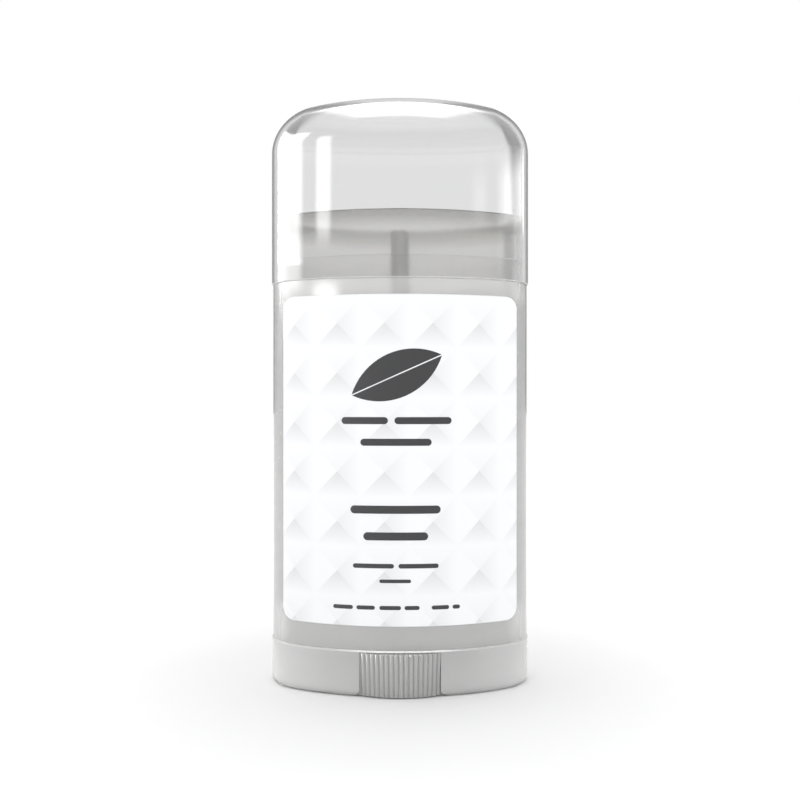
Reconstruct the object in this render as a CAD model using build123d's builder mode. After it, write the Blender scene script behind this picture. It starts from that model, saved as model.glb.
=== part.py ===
from build123d import *
from math import asin, cos, sin
import os

# A twist-up deodorant stick pack: clear overcap, barrel, label, base, thumbwheel, spindle, elevator.
# Millimetres, +Z up, the label faces -Y, and the origin is the middle of the foot.
# Every plan outline is the same four-arc oval, moved inward from the outside of the base.

# The pack as a whole, measured at the outside of the base
pack_width = 54.4
pack_depth = 31.0
end_radius = 11.3

# Base
skirt_height = 8.9
skirt_wall = 1.6
foot_fillet = 1.2
flange_thickness = 0.4
flange_fillet = 0.15
plate_thickness = 1.5
plug_height = 4.9
plug_wall = 1.2
bead_height = 0.6
bead_depth = 0.3
bead_rise = 2.4
turret_diameter = 16.3
turret_wall = 1.4
turret_height = 5.4

# Barrel
barrel_step = 0.2
barrel_wall = 2.3
body_height = 74.3
band_height = 4.6
neck_height = 9.3
neck_step = 0.3
rim_fillet = 0.25

# Overcap
cap_overhang = 0.1
cap_wall = 1.1
cap_height = 38.3
crown_radius = 380.0
crown_fillet = 10.5
crown_trim = 1.0
cap_edge_fillet = 0.2

# Label
label_width = 48.1
label_height = 66.1
label_corner = 2.4
label_thickness = 0.12
label_rise = 4.9

# Thumbwheel
wheel_stand_out = 1.3
wheel_draft = 0.35
wheel_ground_gap = 0.25
wheel_web = 1.5
wheel_wall = 1.5
rib_count = 105
rib_groove_radius = 0.33
hub_diameter = 9.0
hub_ground_gap = 1.0

# Spindle
rod_diameter = 3.7
thread_diameter = 4.7
spindle_top_gap = 2.2
journal_diameter = 4.6
key_side = 3.0
key_ground_gap = 1.5
collar_diameter = 8.0
collar_thickness = 1.2
rod_tip_chamfer = 0.4

# Elevator, at its lowest place
elevator_rise = 6.1
elevator_skirt_height = 11.1
elevator_skirt_step = 0.6
elevator_skirt_wall = 1.0
elevator_band_height = 2.6
elevator_rim_wall = 1.0
elevator_rim_height = 0.8
platform_thickness = 1.4
nut_diameter = 9.0
nut_gap = 0.8

# Clearances
cap_fit = 0.1
plug_fit = 0.1
slide_fit = 0.25
journal_fit = 0.08
key_fit = 0.05
thread_fit = 0.15
wheel_window_gap = 0.1
running_gap = 0.1

# Levels that follow
barrel_bottom = skirt_height + flange_thickness
shoulder_level = barrel_bottom + body_height
band_top = shoulder_level + band_height
rim_level = band_top + neck_height
plate_top = skirt_height + plate_thickness
turret_top = plate_top + turret_height
plug_top = barrel_bottom + plug_height
bead_level = barrel_bottom + bead_rise
cap_top = shoulder_level + cap_height
wheel_top = skirt_height - running_gap
spindle_top = rim_level - spindle_top_gap
elevator_bottom = barrel_bottom + elevator_rise
elevator_band_bottom = elevator_bottom + elevator_skirt_height
elevator_top = elevator_band_bottom + elevator_band_height
platform_top = elevator_top - elevator_rim_height
platform_bottom = platform_top - platform_thickness

# Insets that follow, from the outside of the base
chamber_inset = barrel_step + barrel_wall
cap_inset = cap_wall - cap_overhang
band_inset = cap_inset + cap_fit
neck_inset = band_inset + neck_step
plug_inset = chamber_inset + plug_fit
elevator_inset = chamber_inset + slide_fit
elevator_skirt_inset = elevator_inset + elevator_skirt_step
wheel_radius = pack_depth / 2 + wheel_stand_out


def oval(inset):
    """The pack's plan outline, drawn inward by inset: two end arcs and two flatter side arcs."""
    half_width = pack_width / 2 - inset
    half_depth = pack_depth / 2 - inset
    end = end_radius - inset
    reach = half_width - end
    side = (reach**2 + half_depth**2 - end**2) / (2 * (half_depth - end))
    lean = asin(reach / (side - end))
    join_x = side * sin(lean)
    join_y = side * cos(lean) - (side - half_depth)
    with BuildSketch(Plane.XY) as outline:
        with BuildLine():
            ThreePointArc((-join_x, join_y), (0, half_depth), (join_x, join_y))
            ThreePointArc((join_x, join_y), (half_width, 0), (join_x, -join_y))
            ThreePointArc((join_x, -join_y), (0, -half_depth), (-join_x, -join_y))
            ThreePointArc((-join_x, -join_y), (-half_width, 0), (-join_x, join_y))
        make_face()
    return outline.sketch


def domed_block(inset):
    """A solid of the overcap's outside, or of its inside, with a slightly crowned top."""
    centre = Plane(origin=(0, 0, cap_top - crown_radius), x_dir=(0, 0, -1), z_dir=(0, 1, 0))
    depth_in = inset + cap_overhang
    with BuildPart() as block:
        with BuildSketch(Plane.XY.offset(shoulder_level)):
            add(oval(inset))
        extrude(amount=cap_height + crown_trim)
        with Locations(centre):
            Sphere(crown_radius - depth_in, mode=Mode.INTERSECT)
        crown_edges = block.faces().sort_by(Axis.Z)[-1].edges()
        fillet(crown_edges, crown_fillet - depth_in)
    return block.part


# Clear overcap, one thin-walled shell, open below, that drops over the barrel's neck
with BuildPart() as overcap:
    add(domed_block(-cap_overhang))
    add(domed_block(cap_inset), mode=Mode.SUBTRACT)
    fillet(overcap.faces().sort_by(Axis.Z)[0].outer_wire().edges(), cap_edge_fillet)
overcap.part.label = "overcap"

# Barrel, open at both ends, with a stepped neck at the top and a snap groove near the foot
with BuildPart() as barrel:
    with BuildSketch(Plane.XY.offset(barrel_bottom)):
        add(oval(barrel_step))
    extrude(amount=body_height)
    with BuildSketch(Plane.XY.offset(shoulder_level)):
        add(oval(band_inset))
    extrude(amount=band_height)
    with BuildSketch(Plane.XY.offset(band_top)):
        add(oval(neck_inset))
    extrude(amount=neck_height)
    with BuildSketch(Plane.XY.offset(barrel_bottom)):
        add(oval(chamber_inset))
    extrude(amount=rim_level - barrel_bottom, mode=Mode.SUBTRACT)
    with BuildSketch(Plane.XY.offset(bead_level - running_gap)):
        add(oval(plug_inset - bead_depth - plug_fit))
    extrude(amount=bead_height + 2 * running_gap, mode=Mode.SUBTRACT)
    fillet(barrel.edges().group_by(Axis.Z)[-1], rim_fillet)
barrel.part.label = "barrel"

# Label, a thin skin on the front of the barrel with rounded corners
with BuildPart() as front_label:
    label_middle = barrel_bottom + label_rise + label_height / 2
    with BuildSketch(Plane.XY.offset(label_middle - label_height / 2)):
        add(oval(barrel_step - label_thickness))
        add(oval(barrel_step), mode=Mode.SUBTRACT)
    extrude(amount=label_height)
    with BuildSketch(Plane.XZ):
        with Locations((0, label_middle)):
            RectangleRounded(label_width, label_height, label_corner)
    extrude(amount=pack_depth, mode=Mode.INTERSECT)
front_label.part.label = "front_label"

# Base: skirt with a window front and back for the thumbwheel, plate, plug, and a round turret
with BuildPart() as base:
    with BuildSketch(Plane.XY):
        add(oval(0))
    extrude(amount=barrel_bottom)
    fillet(base.edges().group_by(Axis.Z)[0], foot_fillet)
    fillet(base.edges().group_by(Axis.Z)[-1], flange_fillet)
    with BuildSketch(Plane.XY.offset(barrel_bottom)):
        add(oval(plug_inset))
    extrude(amount=plug_height)
    with BuildSketch(Plane.XY.offset(bead_level)):
        add(oval(plug_inset - bead_depth))
    extrude(amount=bead_height)
    with BuildSketch(Plane.XY.offset(plate_top)):
        add(oval(plug_inset + plug_wall))
    extrude(amount=plug_top - plate_top, mode=Mode.SUBTRACT)
    with BuildSketch(Plane.XY):
        add(oval(skirt_wall))
        Circle(wheel_radius + wheel_window_gap)
    extrude(amount=skirt_height, mode=Mode.SUBTRACT)
    with BuildSketch(Plane.XY.offset(plate_top)):
        Circle(turret_diameter / 2)
        Circle(turret_diameter / 2 - turret_wall, mode=Mode.SUBTRACT)
    extrude(amount=turret_height)
    with BuildSketch(Plane.XY.offset(skirt_height)):
        Circle(journal_diameter / 2 + journal_fit)
    extrude(amount=plate_thickness, mode=Mode.SUBTRACT)
base.part.label = "base"

# Thumbwheel: a drafted, fluted rim with a web on top and a keyed hub, hollow below
with BuildPart() as thumbwheel:
    wheel_height = wheel_top - wheel_ground_gap
    with BuildSketch(Plane.XZ):
        with BuildLine():
            Polyline(
                (0, wheel_ground_gap),
                (wheel_radius - wheel_draft, wheel_ground_gap),
                (wheel_radius, wheel_top),
                (0, wheel_top),
                close=True,
            )
        make_face()
    revolve(axis=Axis.Z)
    with BuildSketch(Plane.XY.offset(wheel_ground_gap)):
        with PolarLocations(wheel_radius, rib_count):
            Circle(rib_groove_radius)
    extrude(amount=wheel_height, mode=Mode.SUBTRACT)
    with BuildSketch(Plane.XY.offset(wheel_ground_gap)):
        Circle(wheel_radius - wheel_draft - wheel_wall)
    extrude(amount=wheel_height - wheel_web, mode=Mode.SUBTRACT)
    with BuildSketch(Plane.XY.offset(hub_ground_gap)):
        Circle(hub_diameter / 2)
    extrude(amount=wheel_top - hub_ground_gap)
    with BuildSketch(Plane.XY.offset(wheel_ground_gap)):
        Rectangle(key_side + 2 * key_fit, key_side + 2 * key_fit)
    extrude(amount=wheel_height, mode=Mode.SUBTRACT)
thumbwheel.part.label = "thumbwheel"

# Spindle: square key in the wheel's hub, journal through the plate, collar on it, and the rod
with BuildPart() as spindle:
    collar_bottom = plate_top + running_gap
    with BuildSketch(Plane.XY.offset(key_ground_gap)):
        Rectangle(key_side, key_side)
    extrude(amount=wheel_top - key_ground_gap)
    with BuildSketch(Plane.XY.offset(wheel_top)):
        Circle(journal_diameter / 2)
    extrude(amount=collar_bottom - wheel_top)
    with BuildSketch(Plane.XY.offset(collar_bottom)):
        Circle(collar_diameter / 2)
    extrude(amount=collar_thickness)
    with BuildSketch(Plane.XY.offset(collar_bottom)):
        Circle(rod_diameter / 2)
    extrude(amount=spindle_top - collar_bottom)
    chamfer(spindle.edges().group_by(Axis.Z)[-1], rod_tip_chamfer)
spindle.part.label = "spindle"

# Elevator: a shallow tray on a deep skirt, with the nut that the spindle's thread drives
with BuildPart() as elevator:
    with BuildSketch(Plane.XY.offset(elevator_bottom)):
        add(oval(elevator_skirt_inset))
    extrude(amount=elevator_skirt_height)
    with BuildSketch(Plane.XY.offset(elevator_band_bottom)):
        add(oval(elevator_inset))
    extrude(amount=elevator_band_height)
    with BuildSketch(Plane.XY.offset(platform_top)):
        add(oval(elevator_inset + elevator_rim_wall))
    extrude(amount=elevator_rim_height, mode=Mode.SUBTRACT)
    with BuildSketch(Plane.XY.offset(elevator_bottom)):
        add(oval(elevator_skirt_inset + elevator_skirt_wall))
    extrude(amount=platform_bottom - elevator_bottom, mode=Mode.SUBTRACT)
    with BuildSketch(Plane.XY.offset(turret_top + nut_gap)):
        Circle(nut_diameter / 2)
    extrude(amount=platform_top - turret_top - nut_gap)
    with BuildSketch(Plane.XY.offset(turret_top)):
        Circle(thread_diameter / 2 + thread_fit)
    extrude(amount=elevator_top - turret_top, mode=Mode.SUBTRACT)
elevator.part.label = "elevator"

os.makedirs("parts", exist_ok=True)
export_step(overcap.part, "parts/overcap.step")
export_step(barrel.part, "parts/barrel.step")
export_step(front_label.part, "parts/front_label.step")
export_step(base.part, "parts/base.step")
export_step(thumbwheel.part, "parts/thumbwheel.step")
export_step(spindle.part, "parts/spindle.step")
export_step(elevator.part, "parts/elevator.step")
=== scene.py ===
from math import asin, atan2, cos, pi, radians, sin, sqrt, tan

import bmesh
import bpy
from mathutils import Matrix, Vector


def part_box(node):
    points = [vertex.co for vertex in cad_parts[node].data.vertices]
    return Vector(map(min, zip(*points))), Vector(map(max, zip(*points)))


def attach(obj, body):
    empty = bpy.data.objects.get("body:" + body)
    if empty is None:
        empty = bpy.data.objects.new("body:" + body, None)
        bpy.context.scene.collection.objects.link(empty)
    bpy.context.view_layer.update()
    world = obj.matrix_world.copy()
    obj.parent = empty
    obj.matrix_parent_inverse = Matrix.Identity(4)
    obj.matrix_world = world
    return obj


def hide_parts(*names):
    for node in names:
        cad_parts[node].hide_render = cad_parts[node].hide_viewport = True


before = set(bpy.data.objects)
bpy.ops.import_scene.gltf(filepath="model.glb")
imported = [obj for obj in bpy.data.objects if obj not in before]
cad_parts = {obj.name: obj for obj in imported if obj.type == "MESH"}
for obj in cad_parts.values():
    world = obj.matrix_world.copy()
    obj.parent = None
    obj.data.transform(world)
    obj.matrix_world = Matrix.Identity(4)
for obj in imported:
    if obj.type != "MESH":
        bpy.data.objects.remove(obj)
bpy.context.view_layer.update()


# The studio: a pale floor and pale surroundings, with soft-edged glows left, right and overhead
# that only show in gloss, and a level camera in front of the pack at about half its height.
# Lengths are metres, most of them written in millimetres.
MM = 0.001
scene = bpy.context.scene
camera_lens = 44.64
camera_distance = 212.3 * MM
camera_height = 59.2 * MM
floor_half_size = 4.0
# The floor's painted shadow: its grey close round the foot, its white further out, and the distances
# over which the one turns into the other.
floor_shadow_grey = 0.87
floor_far = 1.0
floor_shadow_reach = (0.02, 0.10)
sky_seen = 1.0
sky_on_surfaces = 1.06
sky_in_gloss = 0.80
card_dark = 0.25
card_inner = 1.08
card_outer = 2.3
card_fades = (1.25, 1.6)
card_reach = (0.20, 0.42)
card_gap = (0.5, 1.0)
least_ahead = 0.02
aim_height = 0.1

scene.view_settings.view_transform = "Standard"
camera = bpy.data.objects.new("camera", bpy.data.cameras.new("camera"))
scene.collection.objects.link(camera)
camera.data.lens = camera_lens
camera.data.sensor_width = 36.0
camera.data.clip_start = 0.005
camera.location = (0, -camera_distance, camera_height)
camera.rotation_euler = (radians(90), 0, 0)
scene.camera = camera


# Each glow: bearing from the front to the right and climb of its middle, half its width, its reach
# down and up from there, how wide its edges fade at the sides, below and above, all in degrees,
# and its brightness. Those with no climb have level edges all the way along.
glows = {
    "left_wide": (-90, 0, 32, 7.7, 38, 9, 0.5, 9, 16.0),
    "left_low": (-90, 0, 32, 6.5, 8.5, 9, 0.3, 0.7, 11.0),
    "left_slim": (-46, 0, 6.5, 8.8, 27, 4.5, 2.2, 9, 10.0),
    "left_spot": (-45, 0, 11, 5.9, 6.45, 8, 0.25, 0.3, 60.0),
    "right_wide": (90, 0, 33, 9.9, 16.4, 16, 1.4, 3.4, 7.5),
    "right_low": (90, 0, 33, 6.4, 10.6, 12, 0.4, 0.9, 1.8),
    "right_slim": (48, 0, 7, 9.8, 16, 6, 3, 4, 2.0),
    "right_rim": (124, 0, 4, 9, 16, 3, 3, 4, 10.0),
    "overhead": (180, 85, 25, -27, 29, 12, 6, 9, 8.0),
}


def calculator(tree):
    """A function that adds one maths node to the tree and returns what it puts out."""

    def maths(operation, first, second=None):
        node = tree.nodes.new("ShaderNodeMath")
        node.operation = operation
        for place, value in enumerate((first, second)):
            if isinstance(value, (int, float)):
                node.inputs[place].default_value = value
            elif value is not None:
                tree.links.new(value, node.inputs[place])
        return node.outputs[0]

    return maths


def soft_ramp(tree, value, low, high):
    """Rises smoothly from 0 where the value is low to 1 where it is high."""
    node = tree.nodes.new("ShaderNodeMapRange")
    node.interpolation_type = "SMOOTHSTEP"
    node.inputs["From Min"].default_value = low
    node.inputs["From Max"].default_value = high
    tree.links.new(value, node.inputs["Value"])
    return node.outputs[0]


def heading_of(bearing, climb):
    """The direction at a bearing from the front to the right and a climb, in degrees."""
    turn, rise = radians(bearing), radians(climb)
    return Vector((sin(turn) * cos(rise), -cos(turn) * cos(rise), sin(rise)))


def surroundings():
    """Pale surroundings. Seen straight they are white. In gloss and through clear walls they are a
    little softer, with dark cards behind the pack, left and right, that draw its clear edges."""
    world = bpy.data.worlds.new("studio_surroundings")
    world.use_nodes = True
    world.cycles.sampling_method = "NONE"
    nodes, links = world.node_tree.nodes, world.node_tree.links
    maths = calculator(world.node_tree)

    def ramp(value, low, high):
        return soft_ramp(world.node_tree, value, low, high)

    def length(first, second):
        return maths("SQRT", maths("ADD", maths("MULTIPLY", first, first),
                                   maths("MULTIPLY", second, second)))

    def along(axis):
        node = nodes.new("ShaderNodeVectorMath")
        node.operation = "DOT_PRODUCT"
        node.inputs[1].default_value = axis
        links.new(where.outputs["Generated"], node.inputs[0])
        return node.outputs["Value"]

    def glow(bearing, climb, half, low, high, side_fade, low_fade, high_fade, strength):
        heading = heading_of(bearing, climb)
        right = Vector((cos(radians(bearing)), sin(radians(bearing)), 0))
        half, low, high = tan(radians(half)), tan(radians(low)), tan(radians(high))
        side_fade, low_fade, high_fade = radians(side_fade), radians(low_fade), radians(high_fade)
        ahead = along(heading)
        near = maths("MAXIMUM", ahead, least_ahead)
        across = maths("ABSOLUTE", maths("DIVIDE", along(right), near))
        up = maths("DIVIDE", along(heading.cross(right)), near if climb else flat)
        inside = maths("SUBTRACT", 1.0, ramp(across, half - side_fade, half))
        above = ramp(up, low, low + low_fade)
        below = maths("SUBTRACT", 1.0, ramp(up, high - high_fade, high))
        shape = maths("MULTIPLY", maths("MULTIPLY", inside, above), below)
        lit = maths("MULTIPLY", shape, strength)
        return maths("MULTIPLY", lit, maths("GREATER_THAN", ahead, least_ahead))

    where = nodes.new("ShaderNodeTexCoord")
    parts = nodes.new("ShaderNodeSeparateXYZ")
    links.new(where.outputs["Generated"], parts.inputs[0])
    flat = length(parts.outputs["X"], parts.outputs["Y"])
    ahead = maths("MAXIMUM", parts.outputs["Y"], least_ahead)
    across = maths("DIVIDE", maths("DIVIDE", parts.outputs["X"], ahead), card_reach[0])
    up = maths("DIVIDE", maths("DIVIDE", parts.outputs["Z"], ahead), card_reach[1])
    out = length(across, up)
    begins = ramp(out, card_inner, card_inner * card_fades[0])
    ends = ramp(out, card_outer, card_outer * card_fades[1])
    beside = ramp(maths("ABSOLUTE", across), *card_gap)
    band = maths("MULTIPLY", maths("SUBTRACT", begins, ends), beside)
    level = maths("SUBTRACT", sky_in_gloss, maths("MULTIPLY", band, sky_in_gloss - card_dark))
    path = nodes.new("ShaderNodeLightPath")
    light = 0.0
    for values in glows.values():
        light = maths("ADD", light, glow(*values))
    level = maths("ADD", level, maths("MULTIPLY", light, path.outputs["Is Reflection Ray"]))
    for ray, strength in (("Is Diffuse Ray", sky_on_surfaces), ("Is Camera Ray", sky_seen)):
        chosen = path.outputs[ray]
        level = maths("ADD", maths("MULTIPLY", level, maths("SUBTRACT", 1.0, chosen)),
                      maths("MULTIPLY", chosen, strength))
    nodes["Background"].inputs["Color"].default_value = (1, 1, 1, 1)
    links.new(level, nodes["Background"].inputs["Strength"])
    return world


def softbox(name, bearing, climb, away, width, height, brightness):
    """A rectangular softbox that faces the pack and lights surfaces without showing in gloss."""
    heading = heading_of(bearing, climb)
    lamp = bpy.data.lights.new(name, "AREA")
    lamp.shape = "RECTANGLE"
    lamp.size = width
    lamp.size_y = height
    lamp.energy = brightness * pi * width * height
    holder = bpy.data.objects.new(name, lamp)
    scene.collection.objects.link(holder)
    holder.location = Vector((0, 0, aim_height)) + away * heading
    holder.rotation_euler = heading.to_track_quat("Z", "Y").to_euler()
    holder.visible_glossy = False
    holder.visible_transmission = False
    return holder


scene.world = surroundings()
key_lamp = softbox("left_key", bearing=-80, climb=25, away=0.9, width=0.5, height=0.6,
                   brightness=2.05)
softbox("overhead_fill", bearing=180, climb=70, away=1.2, width=1.2, height=1.2, brightness=0.35)


def floor_sheet():
    """A white floor, large enough that its edge is out of sight in every view. Close round the foot it
    has a painted shadow: its colour is a touch greyer there, where the pack would keep the light of
    the room off it."""
    bm = bmesh.new()
    bmesh.ops.create_grid(bm, x_segments=1, y_segments=1, size=floor_half_size)
    mesh = bpy.data.meshes.new("floor")
    bm.to_mesh(mesh)
    bm.free()
    sheet = bpy.data.objects.new("floor", mesh)
    scene.collection.objects.link(sheet)
    paint = bpy.data.materials.new("floor_white")
    paint.use_nodes = True
    nodes, links = paint.node_tree.nodes, paint.node_tree.links
    shader = nodes["Principled BSDF"]
    shader.inputs["Roughness"].default_value = 0.9
    shader.inputs["Specular IOR Level"].default_value = 0.0
    where = nodes.new("ShaderNodeTexCoord")
    away = nodes.new("ShaderNodeVectorMath")
    away.operation = "LENGTH"
    links.new(where.outputs["Object"], away.inputs[0])
    # Painted shadow: the floor's colour goes from grey at the foot of the pack to white further out.
    fade = soft_ramp(paint.node_tree, away.outputs["Value"], *floor_shadow_reach)
    tint = nodes.new("ShaderNodeMix")
    tint.data_type = "RGBA"
    tint.inputs["A"].default_value = (floor_shadow_grey, floor_shadow_grey, floor_shadow_grey, 1)
    tint.inputs["B"].default_value = (floor_far, floor_far, floor_far, 1)
    links.new(fade, tint.inputs["Factor"])
    links.new(tint.outputs["Result"], shader.inputs["Base Color"])
    mesh.materials.append(paint)
    return sheet


unlit = bpy.data.collections.new("kept_out_of_the_key")
key_lamp.light_linking.receiver_collection = unlit


def keep_out_of_the_key(thing):
    """Leaves the thing to the room's own light, so that the key doesn't burn it out."""
    unlit.objects.link(thing)
    unlit.collection_objects[-1].light_linking.link_state = "EXCLUDE"


keep_out_of_the_key(floor_sheet())


# The base: a natural translucent moulding that closes the foot of the barrel. It has a skirt, a window
# front and back for the thumbwheel, a plate, a plug, and a round turret painted a darker grey as
# painted shade.
half_width = (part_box("base")[1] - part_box("base")[0]).x / 2
half_depth = (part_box("base")[1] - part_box("base")[0]).y / 2
end_radius = 11.3 * MM
reach = half_width - end_radius
side_radius = (reach**2 + half_depth**2 - end_radius**2) / (2 * (half_depth - end_radius))
lean = asin(reach / (side_radius - end_radius))
side_centre = side_radius - half_depth
round_steps = 40
weld = 0.002 * MM
sharp_turn = 0.7


def corners_of(parts):
    """The corners among the parts that a bmesh operator gives back."""
    return [part for part in parts if isinstance(part, bmesh.types.BMVert)]


def grown_ring(bm, ring):
    """Extrudes a ring of edges where it lies. Returns the new ring's corners and edges."""
    grown = bmesh.ops.extrude_edge_only(bm, edges=ring)["geom"]
    corners = corners_of(grown)
    fresh = set(corners)
    edges = [
        part for part in grown
        if isinstance(part, bmesh.types.BMEdge) and all(v in fresh for v in part.verts)
    ]
    return corners, edges


def outline_normal(point):
    """The outward direction of the pack's four-arc plan outline at one of its points."""
    sign = 1 if point.y > 0 else -1
    to_side = Vector((point.x, point.y + sign * side_centre))
    if abs(atan2(to_side.x, sign * to_side.y)) <= lean:
        return to_side.normalized()
    return Vector((point.x - (reach if point.x > 0 else -reach), point.y)).normalized()


def outline_ring(bm):
    """The plan outline of the outside of the base, drawn as four spun arcs. Returns its edges."""
    corner = bm.verts.new((-side_radius * sin(lean), -side_radius * cos(lean) + side_centre, 0))
    tip = corner
    arcs = (
        ((0, side_centre, 0), 2 * lean, 2 * round_steps),
        ((reach, 0, 0), pi - 2 * lean, round_steps),
        ((0, -side_centre, 0), 2 * lean, 2 * round_steps),
        ((-reach, 0, 0), pi - 2 * lean, round_steps),
    )
    for centre, angle, steps in arcs:
        spun = bmesh.ops.spin(
            bm, geom=[tip], cent=centre, axis=(0, 0, 1), angle=angle, steps=steps, use_merge=False
        )
        tip = corners_of(spun["geom_last"])[0]
    bmesh.ops.remove_doubles(bm, verts=[corner, tip], dist=0.01 * MM)
    return list(bm.edges)


def at_inset(inset, level):
    """A station of a moulding: the plan outline moved inward by inset, at that level."""
    return lambda point, normal: (*(point - inset * normal), level)


def at_radius(radius, level):
    """A station of a moulding: a circle about the pack's axis, at that level."""
    return lambda point, normal: (*(radius * point.normalized()), level)


def moulding(name, stations, ends="joined", edge=0.0, crisp=-1.0):
    """A closed skin through the stations in turn. Its ends join up, or each closes to a pole.
    Its corners are rounded by edge, but for those at the level crisp."""
    bm = bmesh.new()
    place = bm.verts.layers.int.new("place")
    ring = outline_ring(bm)
    outline = []
    for number, vert in enumerate({v for e in ring for v in e.verts}):
        vert[place] = number
        point = vert.co.to_2d()
        outline.append((point, outline_normal(point)))
    rings = []
    for number, station in enumerate(stations):
        if number:
            verts, ring = grown_ring(bm, ring)
        else:
            verts = list(bm.verts)
        for vert in verts:
            vert.co = station(*outline[vert[place]])
        rings.append(verts)
    if ends == "poles":
        for verts in (rings[0], rings[-1]):
            middle = sum((v.co for v in verts), Vector()) / len(verts)
            bmesh.ops.pointmerge(bm, verts=verts, merge_co=middle)
    else:
        bmesh.ops.remove_doubles(bm, verts=rings[0] + rings[-1], dist=weld)
    bmesh.ops.recalc_face_normals(bm, faces=bm.faces)
    if edge:
        sharp = [
            e for e in bm.edges
            if len(e.link_faces) == 2 and e.calc_face_angle(0) > sharp_turn
            and abs(e.verts[0].co.z - crisp) > 0.01 * MM
        ]
        bmesh.ops.bevel(
            bm, geom=sharp, offset=edge, offset_type="OFFSET", affect="EDGES",
            segments=3, profile=0.5, material=-1, clamp_overlap=True,
        )
    return finished(name, bm)


def finished(name, bm):
    """The bmesh as a smooth object in the scene, in the pack's own frame."""
    mesh = bpy.data.meshes.new(name)
    bm.to_mesh(mesh)
    bm.free()
    mesh.shade_smooth()
    piece = bpy.data.objects.new(name, mesh)
    scene.collection.objects.link(piece)
    return piece


def flat_between_edges(piece):
    """Keeps broad faces flat in the light, so that only the rounded edges turn."""
    weigh = piece.modifiers.new("flat_between_edges", "WEIGHTED_NORMAL")
    weigh.mode = "FACE_AREA"
    weigh.weight = 100
    weigh.keep_sharp = True


def socket(nodes, kind, **inputs):
    """A new node of that kind with plain values on its inputs."""
    node = nodes.new(kind)
    for name, value in inputs.items():
        node.inputs[name.replace("_", " ")].default_value = value
    return node


def moulding_grain():
    """Node group: the faint unevenness of moulded plastic, as a shade and a height."""
    group = bpy.data.node_groups.new("moulding_grain", "ShaderNodeTree")
    for name in ("Scale", "Stretch"):
        group.interface.new_socket(name, in_out="INPUT", socket_type="NodeSocketFloat")
    for name in ("Shade", "Height"):
        group.interface.new_socket(name, in_out="OUTPUT", socket_type="NodeSocketFloat")
    nodes, links = group.nodes, group.links
    given = nodes.new("NodeGroupInput")
    result = nodes.new("NodeGroupOutput")
    where = nodes.new("ShaderNodeTexCoord")
    stretch = nodes.new("ShaderNodeCombineXYZ")
    stretch.inputs["X"].default_value = 1.0
    stretch.inputs["Y"].default_value = 1.0
    links.new(given.outputs["Stretch"], stretch.inputs["Z"])
    scaled = nodes.new("ShaderNodeVectorMath")
    scaled.operation = "MULTIPLY"
    links.new(where.outputs["Object"], scaled.inputs[0])
    links.new(stretch.outputs[0], scaled.inputs[1])
    broad = socket(nodes, "ShaderNodeTexNoise", Detail=2.0, Roughness=0.5)
    fine = socket(nodes, "ShaderNodeTexNoise", Detail=4.0, Roughness=0.6)
    more = nodes.new("ShaderNodeMath")
    more.operation = "MULTIPLY"
    more.inputs[1].default_value = 9.0
    links.new(given.outputs["Scale"], broad.inputs["Scale"])
    links.new(given.outputs["Scale"], more.inputs[0])
    links.new(more.outputs[0], fine.inputs["Scale"])
    links.new(scaled.outputs[0], broad.inputs["Vector"])
    links.new(scaled.outputs[0], fine.inputs["Vector"])
    links.new(broad.outputs["Fac"], result.inputs["Shade"])
    links.new(fine.outputs["Fac"], result.inputs["Height"])
    return group


grain = moulding_grain()


def plastic(name, dark, light, roughness, clear=0.0, ior=1.49, scale=60.0, stretch=0.35, bump=0.05,
            skin=0.0):
    """Moulded plastic: a shade that drifts between dark and light, and a faint uneven surface."""
    paint = bpy.data.materials.new(name)
    paint.use_nodes = True
    nodes, links = paint.node_tree.nodes, paint.node_tree.links
    shader = nodes["Principled BSDF"]
    shader.inputs["Transmission Weight"].default_value = clear
    shader.inputs["IOR"].default_value = ior
    shader.inputs["Coat Weight"].default_value = skin
    shader.inputs["Coat Roughness"].default_value = 0.07
    surface = nodes.new("ShaderNodeGroup")
    surface.node_tree = grain
    surface.inputs["Scale"].default_value = scale
    surface.inputs["Stretch"].default_value = stretch
    tint = nodes.new("ShaderNodeMix")
    tint.data_type = "RGBA"
    tint.inputs["A"].default_value = (*dark, 1)
    tint.inputs["B"].default_value = (*light, 1)
    links.new(surface.outputs["Shade"], tint.inputs["Factor"])
    links.new(tint.outputs["Result"], shader.inputs["Base Color"])
    spread = nodes.new("ShaderNodeMapRange")
    spread.inputs["To Min"].default_value = roughness * 0.8
    spread.inputs["To Max"].default_value = roughness * 1.2
    links.new(surface.outputs["Shade"], spread.inputs["Value"])
    links.new(spread.outputs[0], shader.inputs["Roughness"])
    relief = socket(nodes, "ShaderNodeBump", Strength=bump, Distance=0.05 * MM)
    links.new(surface.outputs["Height"], relief.inputs["Height"])
    links.new(relief.outputs["Normal"], shader.inputs["Normal"])
    return paint


def tinted(paint, shades):
    """Multiplies a paint's colour by shades, a socket that changes over the surface."""
    nodes, links = paint.node_tree.nodes, paint.node_tree.links
    shader = nodes["Principled BSDF"]
    mixed = nodes.new("ShaderNodeMix")
    mixed.data_type = "RGBA"
    mixed.blend_type = "MULTIPLY"
    mixed.inputs["Factor"].default_value = 1.0
    links.new(shader.inputs["Base Color"].links[0].from_socket, mixed.inputs["A"])
    links.new(shades, mixed.inputs["B"])
    links.new(mixed.outputs["Result"], shader.inputs["Base Color"])


def run_of_shades(paint, place, stops):
    """A colour ramp over a place from 0 to 1. Each stop is a place and a colour or a plain grey."""
    shades = paint.node_tree.nodes.new("ShaderNodeValToRGB")
    paint.node_tree.links.new(place, shades.inputs["Fac"])
    marks = shades.color_ramp.elements
    for number, (where, shade) in enumerate(stops):
        colour = (shade, shade, shade) if isinstance(shade, (int, float)) else shade
        if number == 0:
            mark = marks[0]
        elif number == len(stops) - 1:
            mark = marks[-1]
        else:
            mark = marks.new(where)
        mark.color = (*colour, 1)
    return shades.outputs["Color"]


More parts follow.
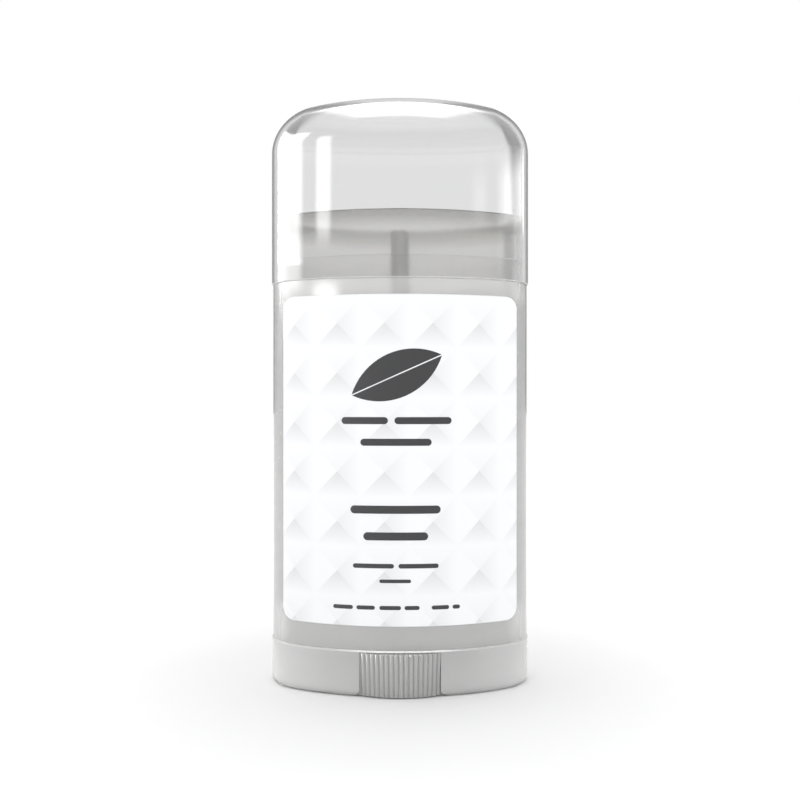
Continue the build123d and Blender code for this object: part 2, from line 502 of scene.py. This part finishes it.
def shades_along(paint, axis, stops, mirrored=False):
    """A run of shades along X or Z, given as places and shades, the same both ways if mirrored."""
    nodes, links = paint.node_tree.nodes, paint.node_tree.links
    where = nodes.new("ShaderNodeTexCoord")
    parts = nodes.new("ShaderNodeSeparateXYZ")
    links.new(where.outputs["Object"], parts.inputs[0])
    place = parts.outputs[axis]
    if mirrored:
        place = calculator(paint.node_tree)("ABSOLUTE", place)
    low, high = stops[0][0], stops[-1][0]
    share = nodes.new("ShaderNodeMapRange")
    share.inputs["From Min"].default_value = low
    share.inputs["From Max"].default_value = high
    links.new(place, share.inputs["Value"])
    return run_of_shades(
        paint, share.outputs[0], [((level - low) / (high - low), shade) for level, shade in stops]
    )


def lighter_of(paint, first, second):
    """The lighter of two runs of shades at each place."""
    node = paint.node_tree.nodes.new("ShaderNodeMix")
    node.data_type = "RGBA"
    node.blend_type = "LIGHTEN"
    node.inputs["Factor"].default_value = 1.0
    paint.node_tree.links.new(first, node.inputs["A"])
    paint.node_tree.links.new(second, node.inputs["B"])
    return node.outputs["Result"]


barrel_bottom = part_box("barrel")[0].z


def base_paint():
    """The base's plastic, with painted light on it: greyer in its middle and paler towards its ends, a
    painted highlight along its flange, and painted shade at its foot and just below the flange."""
    paint = plastic("natural_moulding", (0.95, 0.95, 0.945), (1.0, 1.0, 0.995), 0.30, clear=0.50,
                    ior=1.45, skin=1.0)
    # Painted light and shade: the base is greyer in its middle and paler towards its ends, where light
    # comes through.
    across = shades_along(paint, "X", (
        (8 * MM, 0.86), (15 * MM, 0.90), (24 * MM, 1.0),
    ), mirrored=True)
    # Painted highlight: a pale line along the flange, where it would catch the light.
    seam_painted_highlight = shades_along(paint, "Z", (
        (barrel_bottom - 0.5 * MM, 0), (barrel_bottom - 0.35 * MM, 1),
        (barrel_bottom + 0.05 * MM, 1), (barrel_bottom + 0.2 * MM, 0),
    ))
    tinted(paint, lighter_of(paint, across, seam_painted_highlight))
    # Painted shade: greyer at the very foot and just below the flange.
    tinted(paint, shades_along(paint, "Z", (
        (0, 0.82), (1.5 * MM, 1.0), (3 * MM, 1.0), (barrel_bottom - 1.0 * MM, 0.88),
        (barrel_bottom - 0.45 * MM, 0.88), (barrel_bottom - 0.35 * MM, 1.0),
    )))
    return paint


natural = base_paint()
# Painted shade: the turret is given a darker grey than the rest of the base, standing in for the shade
# seen through the walls around it.
turret_shade_paint = plastic("turret_painted_shade", (0.42, 0.42, 0.42), (0.46, 0.46, 0.46), 0.30, clear=0.2,
                       ior=1.45)
window_gap = 0.04 * MM
wheel_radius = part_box("thumbwheel")[1].y
wheel_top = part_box("thumbwheel")[1].z
running_gap = 0.1 * MM
skirt_wall = 1.6 * MM
skirt_top = wheel_top + running_gap
plate_top = skirt_top + 1.5 * MM
chamber_inset = 2.5 * MM
plug_inset = 2.6 * MM
plug_wall = 1.2 * MM
plug_top = barrel_bottom + 4.9 * MM
turret_radius = 8.15 * MM
turret_bore = 6.75 * MM
turret_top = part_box("base")[1].z
shaft_hole = 2.38 * MM
foot_round = 1.2 * MM
foot_turns = [pi / 2 * k / 8 for k in range(9)]
foot = [at_inset(foot_round * (1 - sin(turn)), foot_round * (1 - cos(turn))) for turn in foot_turns]
flange_bevel = 0.24 * MM
flange_step = 0.24 * MM
base_piece = moulding(
    "base_closure",
    [
        at_inset(skirt_wall, 0),
        *foot,
        at_inset(0, barrel_bottom - flange_bevel),
        at_inset(flange_step, barrel_bottom),
        at_inset(plug_inset, barrel_bottom),
        at_inset(plug_inset, plug_top),
        at_inset(plug_inset + plug_wall, plug_top),
        at_inset(plug_inset + plug_wall, plate_top),
        at_radius(turret_radius, plate_top),
        at_radius(turret_radius, turret_top),
        at_radius(turret_bore, turret_top),
        at_radius(turret_bore, plate_top),
        at_radius(shaft_hole, plate_top),
        at_radius(shaft_hole, skirt_top),
        at_inset(skirt_wall, skirt_top),
        at_inset(skirt_wall, 0),
    ],
)


def cut_window(piece):
    """Cuts the thumbwheel's window through the skirt, front and back."""
    bm = bmesh.new()
    bmesh.ops.create_cone(
        bm, cap_ends=True, segments=256, radius1=wheel_radius + window_gap,
        radius2=wheel_radius + window_gap, depth=2 * skirt_top,
    )
    cutter = finished("window_cutter", bm)
    cut = piece.modifiers.new("window", "BOOLEAN")
    cut.operation = "DIFFERENCE"
    cut.solver = "EXACT"
    cut.object = cutter
    bpy.context.view_layer.update()
    shape = bpy.data.meshes.new_from_object(piece.evaluated_get(bpy.context.evaluated_depsgraph_get()))
    piece.modifiers.clear()
    piece.data = shape
    bpy.data.objects.remove(cutter)


cut_window(base_piece)
base_piece.data.materials.clear()
base_piece.data.materials.append(natural)
base_piece.data.materials.append(turret_shade_paint)
for face in base_piece.data.polygons:
    on_turret = face.center.z > plate_top + 0.1 * MM and face.center.to_2d().length < turret_radius
    face.material_index = int(on_turret)
base_piece.data.set_sharp_from_angle(angle=radians(40))
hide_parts("base")
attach(base_piece, "barrel")


# The thumbwheel: a natural moulding with fine upright flutes round its rim, hollow below, with a
# hub that the spindle is pressed into. It shows through the base's window, front and back.
flute_count = 105
flute_depth = 0.36 * MM
flute_steps = 6
wheel_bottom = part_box("thumbwheel")[0].z
wheel_draft = 0.35 * MM
wheel_web = 1.5 * MM
wheel_wall = 1.5 * MM
hub_radius = 4.5 * MM
hub_bottom = 1.0 * MM
hub_bore = 2.2 * MM
top_bevel = 0.1 * MM
foot_bevel_in, foot_bevel_up = 0.2 * MM, 0.25 * MM


def fluted_wheel():
    """The wheel, a ring spun round the axis and extruded through its stations. Each station is a
    radius, a level and how deep the flutes are there, as a share of their full depth."""
    bm = bmesh.new()
    steps = flute_count * flute_steps
    first = bm.verts.new((1, 0, 0))
    bmesh.ops.spin(bm, geom=[first], cent=(0, 0, 0), axis=(0, 0, 1), angle=2 * pi, steps=steps,
                   use_merge=True)
    bmesh.ops.remove_doubles(bm, verts=bm.verts, dist=0.1 * 2 * pi / steps)
    ring = list(bm.edges)
    foot_radius = wheel_radius - wheel_draft
    recess_radius = foot_radius - wheel_wall
    stations = [
        (foot_radius - foot_bevel_in, wheel_bottom, 0.5),
        (foot_radius, wheel_bottom + foot_bevel_up, 1),
        (wheel_radius, wheel_top - top_bevel, 1),
        (wheel_radius - top_bevel, wheel_top, 0.8),
        (hub_radius + 0.1 * MM, wheel_top, 0),
        (hub_bore, wheel_top, 0),
        (hub_bore, hub_bottom, 0),
        (hub_radius, hub_bottom, 0),
        (hub_radius, wheel_top - wheel_web, 0),
        (recess_radius, wheel_top - wheel_web, 0),
        (recess_radius, wheel_bottom, 0),
        (foot_radius - foot_bevel_in, wheel_bottom, 0.5),
    ]
    rings = []
    for number, (radius, level, fluting) in enumerate(stations):
        if number:
            verts, ring = grown_ring(bm, ring)
        else:
            verts = list(bm.verts)
        for vert in verts:
            turn = atan2(vert.co.y, vert.co.x)
            groove = flute_depth * fluting * (0.5 - 0.5 * cos(turn * flute_count)) ** 3
            vert.co = ((radius - groove) * cos(turn), (radius - groove) * sin(turn), level)
        rings.append(verts)
    bmesh.ops.remove_doubles(bm, verts=rings[0] + rings[-1], dist=weld)
    bmesh.ops.recalc_face_normals(bm, faces=bm.faces)
    return finished("fluted_thumbwheel", bm)


wheel_piece = fluted_wheel()
wheel_piece.data.set_sharp_from_angle(angle=radians(50))
wheel_piece.data.materials.append(
    plastic("fluted_moulding", (0.63, 0.63, 0.625), (0.67, 0.67, 0.665), 0.26, clear=0.4, ior=1.45,
            skin=0.5)
)
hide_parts("thumbwheel")
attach(wheel_piece, "wheel")


# The spindle: a slim natural moulding, held in the wheel's hub, with a collar that keeps it on the
# plate and one coarse right-hand ridge, 5 mm a turn, that ends below a plain tip.
rod_radius = 1.85 * MM
thread_radius = 2.35 * MM
ridge_root = rod_radius - 0.1 * MM
ridge_half_foot, ridge_half_top = 0.9 * MM, 0.25 * MM
thread_lead = 5.0 * MM
thread_from = 13.0 * MM
thread_to = 83.2 * MM
turn_steps = 32
key_radius = 2.1 * MM
journal_radius = 2.3 * MM
collar_radius = 4.0 * MM
collar_bottom = plate_top + running_gap
collar_top = collar_bottom + 1.2 * MM
tip_bevel = 0.4 * MM
spindle_bottom, spindle_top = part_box("spindle")[0].z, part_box("spindle")[1].z


def turned_spindle():
    """The rod, spun from its outline, with a ridge screwed up it."""
    bm = bmesh.new()
    outline = [
        (0, spindle_bottom), (key_radius, spindle_bottom), (key_radius, wheel_top),
        (journal_radius, wheel_top), (journal_radius, collar_bottom),
        (collar_radius, collar_bottom), (collar_radius, collar_top), (rod_radius, collar_top),
        (rod_radius, spindle_top - tip_bevel), (rod_radius - tip_bevel, spindle_top),
        (0, spindle_top),
    ]
    chain = [bm.verts.new((radius, 0, level)) for radius, level in outline]
    edges = [bm.edges.new(pair) for pair in zip(chain, chain[1:])]
    bmesh.ops.spin(bm, geom=chain + edges, cent=(0, 0, 0), axis=(0, 0, 1), angle=2 * pi,
                   steps=48, use_merge=True)
    bmesh.ops.remove_doubles(bm, verts=bm.verts, dist=0.01 * MM)
    turns = (thread_to - thread_from) / thread_lead
    steps = int(turns * turn_steps)
    ridge = [
        bm.verts.new((radius, 0, thread_from + rise))
        for radius, rise in (
            (ridge_root, -ridge_half_foot), (thread_radius, -ridge_half_top),
            (thread_radius, ridge_half_top), (ridge_root, ridge_half_foot),
        )
    ]
    face = bm.faces.new(ridge)
    bmesh.ops.spin(bm, geom=[face, *face.edges, *face.verts], cent=(0, 0, 0), axis=(0, 0, 1),
                   angle=2 * pi * turns, steps=steps, dvec=(0, 0, thread_lead * turns / steps),
                   use_merge=False)
    bmesh.ops.recalc_face_normals(bm, faces=bm.faces)
    return finished("threaded_spindle", bm)


pale = plastic("pale_moulding", (0.97, 0.97, 0.965), (1.0, 1.0, 0.995), 0.50, clear=0.70, ior=1.45)
spindle_piece = turned_spindle()
spindle_piece.data.set_sharp_from_angle(angle=radians(40))
spindle_piece.data.materials.append(pale)
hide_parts("spindle")
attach(spindle_piece, "wheel")


# The elevator: a natural moulding, a shallow oval tray on a deep skirt that slides in the barrel,
# with a round nut under its middle that runs on the spindle's thread.
lift_bottom, lift_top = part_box("elevator")[0].z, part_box("elevator")[1].z
lift_inset = chamber_inset + 0.25 * MM
lift_wall = 1.0 * MM
skirt_inset = lift_inset + 0.6 * MM
band_bottom = lift_top - 2.6 * MM
tray_top = lift_top - 0.8 * MM
tray_bottom = tray_top - 1.4 * MM
nut_bottom = turret_top + 0.8 * MM
nut_bore = 2.5 * MM
nut_radius = 4.5 * MM
elevator_piece = moulding(
    "lift_tray",
    [
        at_inset(skirt_inset + lift_wall, lift_bottom),
        at_inset(skirt_inset, lift_bottom),
        at_inset(skirt_inset, band_bottom),
        at_inset(lift_inset, band_bottom),
        at_inset(lift_inset, lift_top),
        at_inset(lift_inset + lift_wall, lift_top),
        at_inset(lift_inset + lift_wall, tray_top),
        at_radius(nut_bore, tray_top),
        at_radius(nut_bore, nut_bottom),
        at_radius(nut_radius, nut_bottom),
        at_radius(nut_radius, tray_bottom),
        at_inset(skirt_inset + lift_wall, tray_bottom),
        at_inset(skirt_inset + lift_wall, lift_bottom),
    ],
    edge=0.12 * MM,
)
elevator_piece.data.materials.append(
    plastic("lift_moulding", (0.60, 0.60, 0.60), (0.65, 0.65, 0.65), 0.34, clear=0.35, ior=1.45)
)
elevator_piece.data.set_sharp_from_angle(angle=radians(50))
flat_between_edges(elevator_piece)
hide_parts("elevator")
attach(elevator_piece, "elevator")


# The barrel: a frosted translucent moulding, open at both ends. Its neck steps in twice, so that
# the cap's wall sits flush with the body and slides over a slightly wider band.
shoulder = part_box("overcap")[0].z
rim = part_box("barrel")[1].z
band_top = shoulder + 4.6 * MM
barrel_foot = barrel_bottom + 0.03 * MM
barrel_inset = 0.2 * MM
band_inset = 1.1 * MM
neck_inset = 1.4 * MM
# Painted shade on the barrel's body: full tone near its foot and just under the cap, greyer over the
# middle of its height.
body_painted_shade = (
    (barrel_bottom, 1.0), (barrel_bottom + 5 * MM, 1.0), (barrel_bottom + 9 * MM, 0.80),
    (shoulder - 5 * MM, 0.78), (shoulder - 3 * MM, 0.97), (shoulder, 0.97),
)
# Painted shade at the barrel's sides: greyer towards its far left and right edges.
side_painted_shade = ((25.6 * MM, 1.0), (26.7 * MM, 0.60))
# Painted shade on the neck: slightly greyer on the band, then darkening over the last few millimetres
# up to the lip.
neck_painted_shade = (
    (shoulder, 0.95), (band_top - 0.1 * MM, 0.95), (band_top + 0.1 * MM, 1.0),
    (rim - 4.6 * MM, (1.0, 1.0, 0.99)),
    (rim - 2.8 * MM, (0.77, 0.765, 0.755)), (rim - 1.2 * MM, (0.58, 0.575, 0.565)),
    (rim, (0.52, 0.515, 0.505)),
)
band_roughness = 0.22
neck_roughness = 0.17


def neck_paint():
    """The shell's neck: clearer than its body and a touch warm, with painted shade: a little greyer on
    its band and much greyer towards its lip.
    """
    paint = plastic("frosted_neck", (0.985, 0.982, 0.974), (1.0, 0.997, 0.99), band_roughness,
                    clear=0.94, ior=1.45, skin=0.15, bump=0.01)
    tinted(paint, shades_along(paint, "Z", neck_painted_shade))
    polish = shades_along(paint, "Z", (
        (band_top - 0.1 * MM, band_roughness), (band_top + 0.1 * MM, neck_roughness),
    ))
    shader = paint.node_tree.nodes["Principled BSDF"]
    paint.node_tree.links.new(polish, shader.inputs["Roughness"])
    return paint


frosted = plastic("frosted_shell", (0.972, 0.97, 0.964), (0.998, 0.995, 0.989), 0.22, clear=0.70,
                  ior=1.45, skin=0.8, bump=0.01)
tinted(frosted, shades_along(frosted, "Z", body_painted_shade))
tinted(frosted, shades_along(frosted, "X", side_painted_shade, mirrored=True))
barrel_piece = moulding(
    "frosted_barrel",
    [
        at_inset(chamber_inset, barrel_foot),
        at_inset(barrel_inset, barrel_foot),
        at_inset(barrel_inset, shoulder),
        at_inset(band_inset, shoulder),
        at_inset(band_inset, band_top),
        at_inset(neck_inset, band_top),
        at_inset(neck_inset, rim),
        at_inset(chamber_inset, rim),
        at_inset(chamber_inset, shoulder),
        at_inset(chamber_inset, barrel_foot),
    ],
    edge=0.2 * MM,
    crisp=barrel_foot,
)
barrel_piece.data.materials.append(frosted)
barrel_piece.data.materials.append(neck_paint())
for face in barrel_piece.data.polygons:
    face.material_index = int(face.center.z > shoulder + 0.1 * MM)
barrel_piece.data.set_sharp_from_angle(angle=radians(50))
flat_between_edges(barrel_piece)
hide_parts("barrel")
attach(barrel_piece, "barrel")


# The overcap: a clear, polished, thin-walled moulding with a nearly flat crown and large round
# shoulders. It drops over the neck and rests on the barrel's shoulder, on a matt foot.
cap_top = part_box("overcap")[1].z
cap_wall = 1.1 * MM
cap_outset = 0.1 * MM
crown_radius = 380 * MM
shoulder_round = 10.5 * MM
crown_middle = 0.02
foot_chamfer = 0.15 * MM
foot_rises = (0.2 * MM, 0.25 * MM, 1.0 * MM)
matt_rise = 0.22 * MM
crown_begins = (0.78, 0.95)
# Painted shade on the clear cap, set by how much its surface is seen at a slant, from face-on to
# edge-on.
slant_painted_shade = ((0.0, 1.0), (0.12, 1.0), (0.35, 0.94), (0.6, 0.81), (0.8, 0.72), (1.0, 0.68))


def clear_paint():
    """Clear shell: colourless and polished. Its walls carry painted shade, greyer where they're seen
    at a slant, and its crown, where the surface faces up, doesn't."""
    paint = plastic("clear_shell", (0.957, 0.958, 0.958), (0.972, 0.973, 0.973), 0.015, clear=1.0,
                    ior=1.49, scale=30.0, bump=0.02)
    nodes, links = paint.node_tree.nodes, paint.node_tree.links
    slant = nodes.new("ShaderNodeLayerWeight")
    shades = run_of_shades(paint, slant.outputs["Facing"], slant_painted_shade)
    facing = nodes.new("ShaderNodeNewGeometry")
    parts = nodes.new("ShaderNodeSeparateXYZ")
    links.new(facing.outputs["Normal"], parts.inputs[0])
    upward = calculator(paint.node_tree)("ABSOLUTE", parts.outputs["Z"])
    tint = nodes.new("ShaderNodeMix")
    tint.data_type = "RGBA"
    tint.inputs["B"].default_value = (1, 1, 1, 1)
    links.new(soft_ramp(paint.node_tree, upward, *crown_begins), tint.inputs["Factor"])
    links.new(shades, tint.inputs["A"])
    tinted(paint, tint.outputs["Result"])
    return paint


clear = clear_paint()


def on_shoulder(thickness, turn):
    """A station on the cap's round shoulder, outside or a wall's thickness in."""
    bend = shoulder_round - thickness
    inset = thickness - cap_outset + bend * (1 - cos(turn))

    def station(point, normal):
        flat = point - inset * normal
        drop = crown_radius - sqrt(crown_radius**2 - flat.length_squared)
        return (*flat, cap_top - thickness - bend * (1 - sin(turn)) - sin(turn) * drop)

    return station


def on_crown(thickness, share):
    """A station on the cap's crown, a share of the way out from its middle."""
    inset = shoulder_round - cap_outset

    def station(point, normal):
        flat = share * (point - inset * normal)
        drop = crown_radius - sqrt(crown_radius**2 - flat.length_squared)
        return (*flat, cap_top - thickness - drop)

    return station


crown_shares = [crown_middle] + [k / 14 for k in range(1, 14)]
bend_turns = [pi / 2 * k / 20 for k in range(21)]
cap_piece = moulding(
    "clear_overcap",
    [on_crown(0, share) for share in crown_shares]
    + [on_shoulder(0, turn) for turn in reversed(bend_turns)]
    + [at_inset(-cap_outset, shoulder + rise) for rise in reversed(foot_rises)]
    + [at_inset(-cap_outset + foot_chamfer, shoulder)]
    + [at_inset(cap_wall - cap_outset - foot_chamfer, shoulder)]
    + [at_inset(cap_wall - cap_outset, shoulder + rise) for rise in foot_rises]
    + [on_shoulder(cap_wall, turn) for turn in bend_turns]
    + [on_crown(cap_wall, share) for share in reversed(crown_shares)],
    ends="poles",
)
cap_piece.data.materials.append(clear)
cap_piece.data.materials.append(
    plastic("matt_cap_foot", (0.93, 0.93, 0.93), (0.96, 0.96, 0.96), 0.45, clear=0.45, ior=1.49)
)
for face in cap_piece.data.polygons:
    face.material_index = int(face.center.z < shoulder + matt_rise)
cap_piece.data.set_sharp_from_angle(angle=radians(30))
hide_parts("overcap")
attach(cap_piece, "cap")


# The label: a thin white film on the front of the barrel with rounded corners, printed with a soft
# repeat of raised squares in pale grey. It is stuck down flat, so that it follows the barrel.
label_low, label_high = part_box("front_label")
label_corner = 2.4 * MM
film_thickness = 0.12 * MM
label_face = barrel_inset - film_thickness
label_back = barrel_inset - 0.01 * MM
tile_width = 9.72 * MM
tile_height = 9.9 * MM
tile_start = Vector((-3.1 * MM, 74.6 * MM))
grey_below, grey_right, grey_above = 0.20, 0.11, 0.04


def front_depth(across, inset):
    """How far the front of the pack stands out from its middle, at a distance across."""
    side = side_radius - inset
    if abs(across) <= side * sin(lean):
        return sqrt(side**2 - across**2) - side_centre
    end = end_radius - inset
    return sqrt(end**2 - (abs(across) - reach) ** 2)


def along_front(across, inset):
    """The distance along the front of the pack from its middle line."""
    side = side_radius - inset
    turn = asin(min(abs(across) / side, sin(lean)))
    length = side * turn
    if abs(across) > side * sin(lean):
        end = end_radius - inset
        length += end * (asin((abs(across) - reach) / end) - lean)
    return length if across > 0 else -length


def rounded_rectangle(bm, low, high, corner, steps=8):
    """A flat face in the front plane with rounded corners, its corners drawn as spun arcs."""
    centres = (
        ((low.x + corner, low.y + corner), (-corner, 0)),
        ((high.x - corner, low.y + corner), (0, -corner)),
        ((high.x - corner, high.y - corner), (corner, 0)),
        ((low.x + corner, high.y - corner), (0, corner)),
    )
    outline = []
    for (x, z), (dx, dz) in centres:
        start = bm.verts.new((x + dx, 0, z + dz))
        spun = bmesh.ops.spin(bm, geom=[start], cent=(x, 0, z), axis=(0, -1, 0), angle=pi / 2,
                              steps=steps, use_merge=False)
        finish = corners_of(spun["geom_last"])[0]
        outline.append((start, finish))
    for (_, finish), (start, _) in zip(outline, outline[1:] + outline[:1]):
        if (finish.co - start.co).length > 0.001 * MM:
            bm.edges.new((finish, start))
    bmesh.ops.remove_doubles(bm, verts=bm.verts, dist=weld)


def wrapped_on_front(name, bm, face, back, spacing=0.4 * MM):
    """Fills the flat outlines in bm, lays them round the front of the pack, and gives them depth."""
    bmesh.ops.holes_fill(bm, edges=bm.edges, sides=0)
    across = [v.co.x for v in bm.verts]
    cuts = int((max(across) - min(across)) / spacing)
    for number in range(1, cuts):
        x = min(across) + (max(across) - min(across)) * number / cuts
        bmesh.ops.bisect_plane(bm, geom=[*bm.verts, *bm.edges, *bm.faces], plane_co=(x, 0, 0),
                               plane_no=(1, 0, 0), dist=0.0005 * MM)
    chart = bm.loops.layers.uv.new("print_chart")
    for part in bm.faces:
        for corner in part.loops:
            place = corner.vert.co
            corner[chart].uv = (along_front(place.x, face), place.z)
    grown = bmesh.ops.extrude_face_region(bm, geom=bm.faces[:])["geom"]
    front = set(corners_of(grown))
    for vert in bm.verts:
        vert.co.y = -front_depth(vert.co.x, face if vert in front else back)
    bmesh.ops.recalc_face_normals(bm, faces=bm.faces)
    return finished(name, bm)


def raised_squares():
    """Node group: how pale a soft repeat of four-sided raised squares is, at each place."""
    group = bpy.data.node_groups.new("raised_squares", "ShaderNodeTree")
    for name in ("Width", "Height"):
        group.interface.new_socket(name, in_out="INPUT", socket_type="NodeSocketFloat")
    group.interface.new_socket("Shade", in_out="OUTPUT", socket_type="NodeSocketFloat")
    nodes, links = group.nodes, group.links
    given = nodes.new("NodeGroupInput")
    result = nodes.new("NodeGroupOutput")
    chart = nodes.new("ShaderNodeUVMap")
    chart.uv_map = "print_chart"
    maths = calculator(group)
    parts = nodes.new("ShaderNodeSeparateXYZ")
    links.new(chart.outputs[0], parts.inputs[0])

    def from_peak(value, start, tile):
        """Distance from the nearest peak, from -1 to 1 across one tile."""
        steps = maths("DIVIDE", maths("SUBTRACT", value, start), given.outputs[tile])
        whole = maths("FLOOR", maths("ADD", steps, 0.5))
        return maths("MULTIPLY", maths("SUBTRACT", steps, whole), 2.0)

    right = from_peak(parts.outputs["X"], tile_start.x, "Width")
    up = from_peak(parts.outputs["Y"], tile_start.y, "Height")
    right_size, up_size = maths("ABSOLUTE", right), maths("ABSOLUTE", up)
    upright = maths("GREATER_THAN", up_size, right_size)
    below = maths("MULTIPLY", upright, maths("LESS_THAN", up, 0.0))
    above = maths("MULTIPLY", upright, maths("GREATER_THAN", up, 0.0))
    beside = maths("SUBTRACT", 1.0, upright)
    to_right = maths("MULTIPLY", beside, maths("GREATER_THAN", right, 0.0))
    shade = 1.0
    for facet, distance, strength in (
        (below, up_size, grey_below), (to_right, right_size, grey_right), (above, up_size, grey_above),
    ):
        fade = maths("SUBTRACT", 1.0, distance)
        loss = maths("MULTIPLY", maths("MULTIPLY", facet, fade), strength)
        shade = maths("SUBTRACT", shade, loss)
    links.new(shade, result.inputs["Shade"])
    return group


def label_paint():
    """White label film with the pale repeat printed on it and a soft sheen."""
    paint = plastic("label_film", (0.92, 0.93, 0.938), (0.932, 0.942, 0.95), 0.38, bump=0.02)
    nodes, links = paint.node_tree.nodes, paint.node_tree.links
    shader = nodes["Principled BSDF"]
    repeat = nodes.new("ShaderNodeGroup")
    repeat.node_tree = raised_squares()
    repeat.inputs["Width"].default_value = tile_width
    repeat.inputs["Height"].default_value = tile_height
    shader.inputs["Specular IOR Level"].default_value = 0.12
    white = shader.inputs["Base Color"].links[0].from_socket
    printed = nodes.new("ShaderNodeVectorMath")
    printed.operation = "SCALE"
    links.new(white, printed.inputs[0])
    links.new(repeat.outputs["Shade"], printed.inputs["Scale"])
    links.new(printed.outputs[0], shader.inputs["Base Color"])
    return paint


bm = bmesh.new()
rounded_rectangle(bm, Vector((label_low.x, label_low.z)), Vector((label_high.x, label_high.z)),
                  label_corner)
label_piece = wrapped_on_front("front_label_film", bm, label_face, label_back)
label_piece.data.set_sharp_from_angle(angle=radians(40))
label_piece.data.materials.append(label_paint())
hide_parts("front_label")
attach(label_piece, "barrel")
keep_out_of_the_key(label_piece)


# The print on the label: one plain leaf, and below it rounded bars where wording would stand. It
# is dark grey ink, laid on the film in one pass.
ink_face = label_face - 0.02 * MM
ink_back = label_face - 0.004 * MM
leaf_foot = Vector((-9.6, 60.2)) * MM
leaf_tilt = 66.0
leaf_length = 19.6 * MM
leaf_belly = 4.4 * MM
midrib = 0.12 * MM

# Each line of bars: its level, its thickness, and where each bar begins and ends, in millimetres.
wording = (
    (55.1, 1.4, ((-11.7, -2.4), (-1.1, 10.3))),
    (50.8, 1.4, ((-7.9, 6.3),)),
    (37.4, 1.6, ((-9.9, 8.1),)),
    (32.1, 1.6, ((-7.3, 5.6),)),
    (26.2, 0.9, ((-9.4, -1.2), (-0.3, 7.7))),
    (23.2, 0.7, ((-4.1, 2.2),)),
    (17.9, 0.8, ((-13.4, -9.4), (-8.7, -5.0), (-4.1, 0.2), (0.9, 3.9), (6.3, 9.8), (10.5, 12.0))),
)


def leaf(bm, foot, tilt, length, belly):
    """Two half leaves side by side with a slim midrib gap between, tilted about the foot."""
    sweep = (length**2 / 4 + belly**2) / (2 * belly)
    half = asin(length / 2 / sweep)
    for side in (1, -1):
        start = bm.verts.new((midrib * side, 0, 0))
        centre = (side * (belly - sweep + midrib), 0, length / 2)
        spun = bmesh.ops.spin(bm, geom=[start], cent=centre, axis=(0, -side, 0), angle=2 * half,
                              steps=20, use_merge=False)
        finish = corners_of(spun["geom_last"])[0]
        bm.edges.new((finish, start))
        members, edge = {start}, [start]
        while edge:
            joined = {e.other_vert(v) for v in edge for e in v.link_edges} - members
            members |= joined
            edge = list(joined)
        bmesh.ops.rotate(bm, verts=list(members), cent=(0, 0, 0),
                         matrix=Matrix.Rotation(radians(tilt), 3, "Y"))
        bmesh.ops.translate(bm, verts=list(members), vec=(foot.x, 0, foot.y))


ink = plastic("dark_ink", (0.038, 0.038, 0.040), (0.044, 0.044, 0.046), 0.45, bump=0.02)
bm = bmesh.new()
leaf(bm, leaf_foot, leaf_tilt, leaf_length, leaf_belly)
for level, thick, words in wording:
    for left, right in words:
        low = Vector((left, level - thick / 2)) * MM
        high = Vector((right, level + thick / 2)) * MM
        rounded_rectangle(bm, low, high, thick * MM * 0.499, steps=5)
print_piece = wrapped_on_front("label_print", bm, ink_face, ink_back, spacing=0.5 * MM)
print_piece.data.set_sharp_from_angle(angle=radians(40))
print_piece.data.materials.append(ink)
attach(print_piece, "barrel")
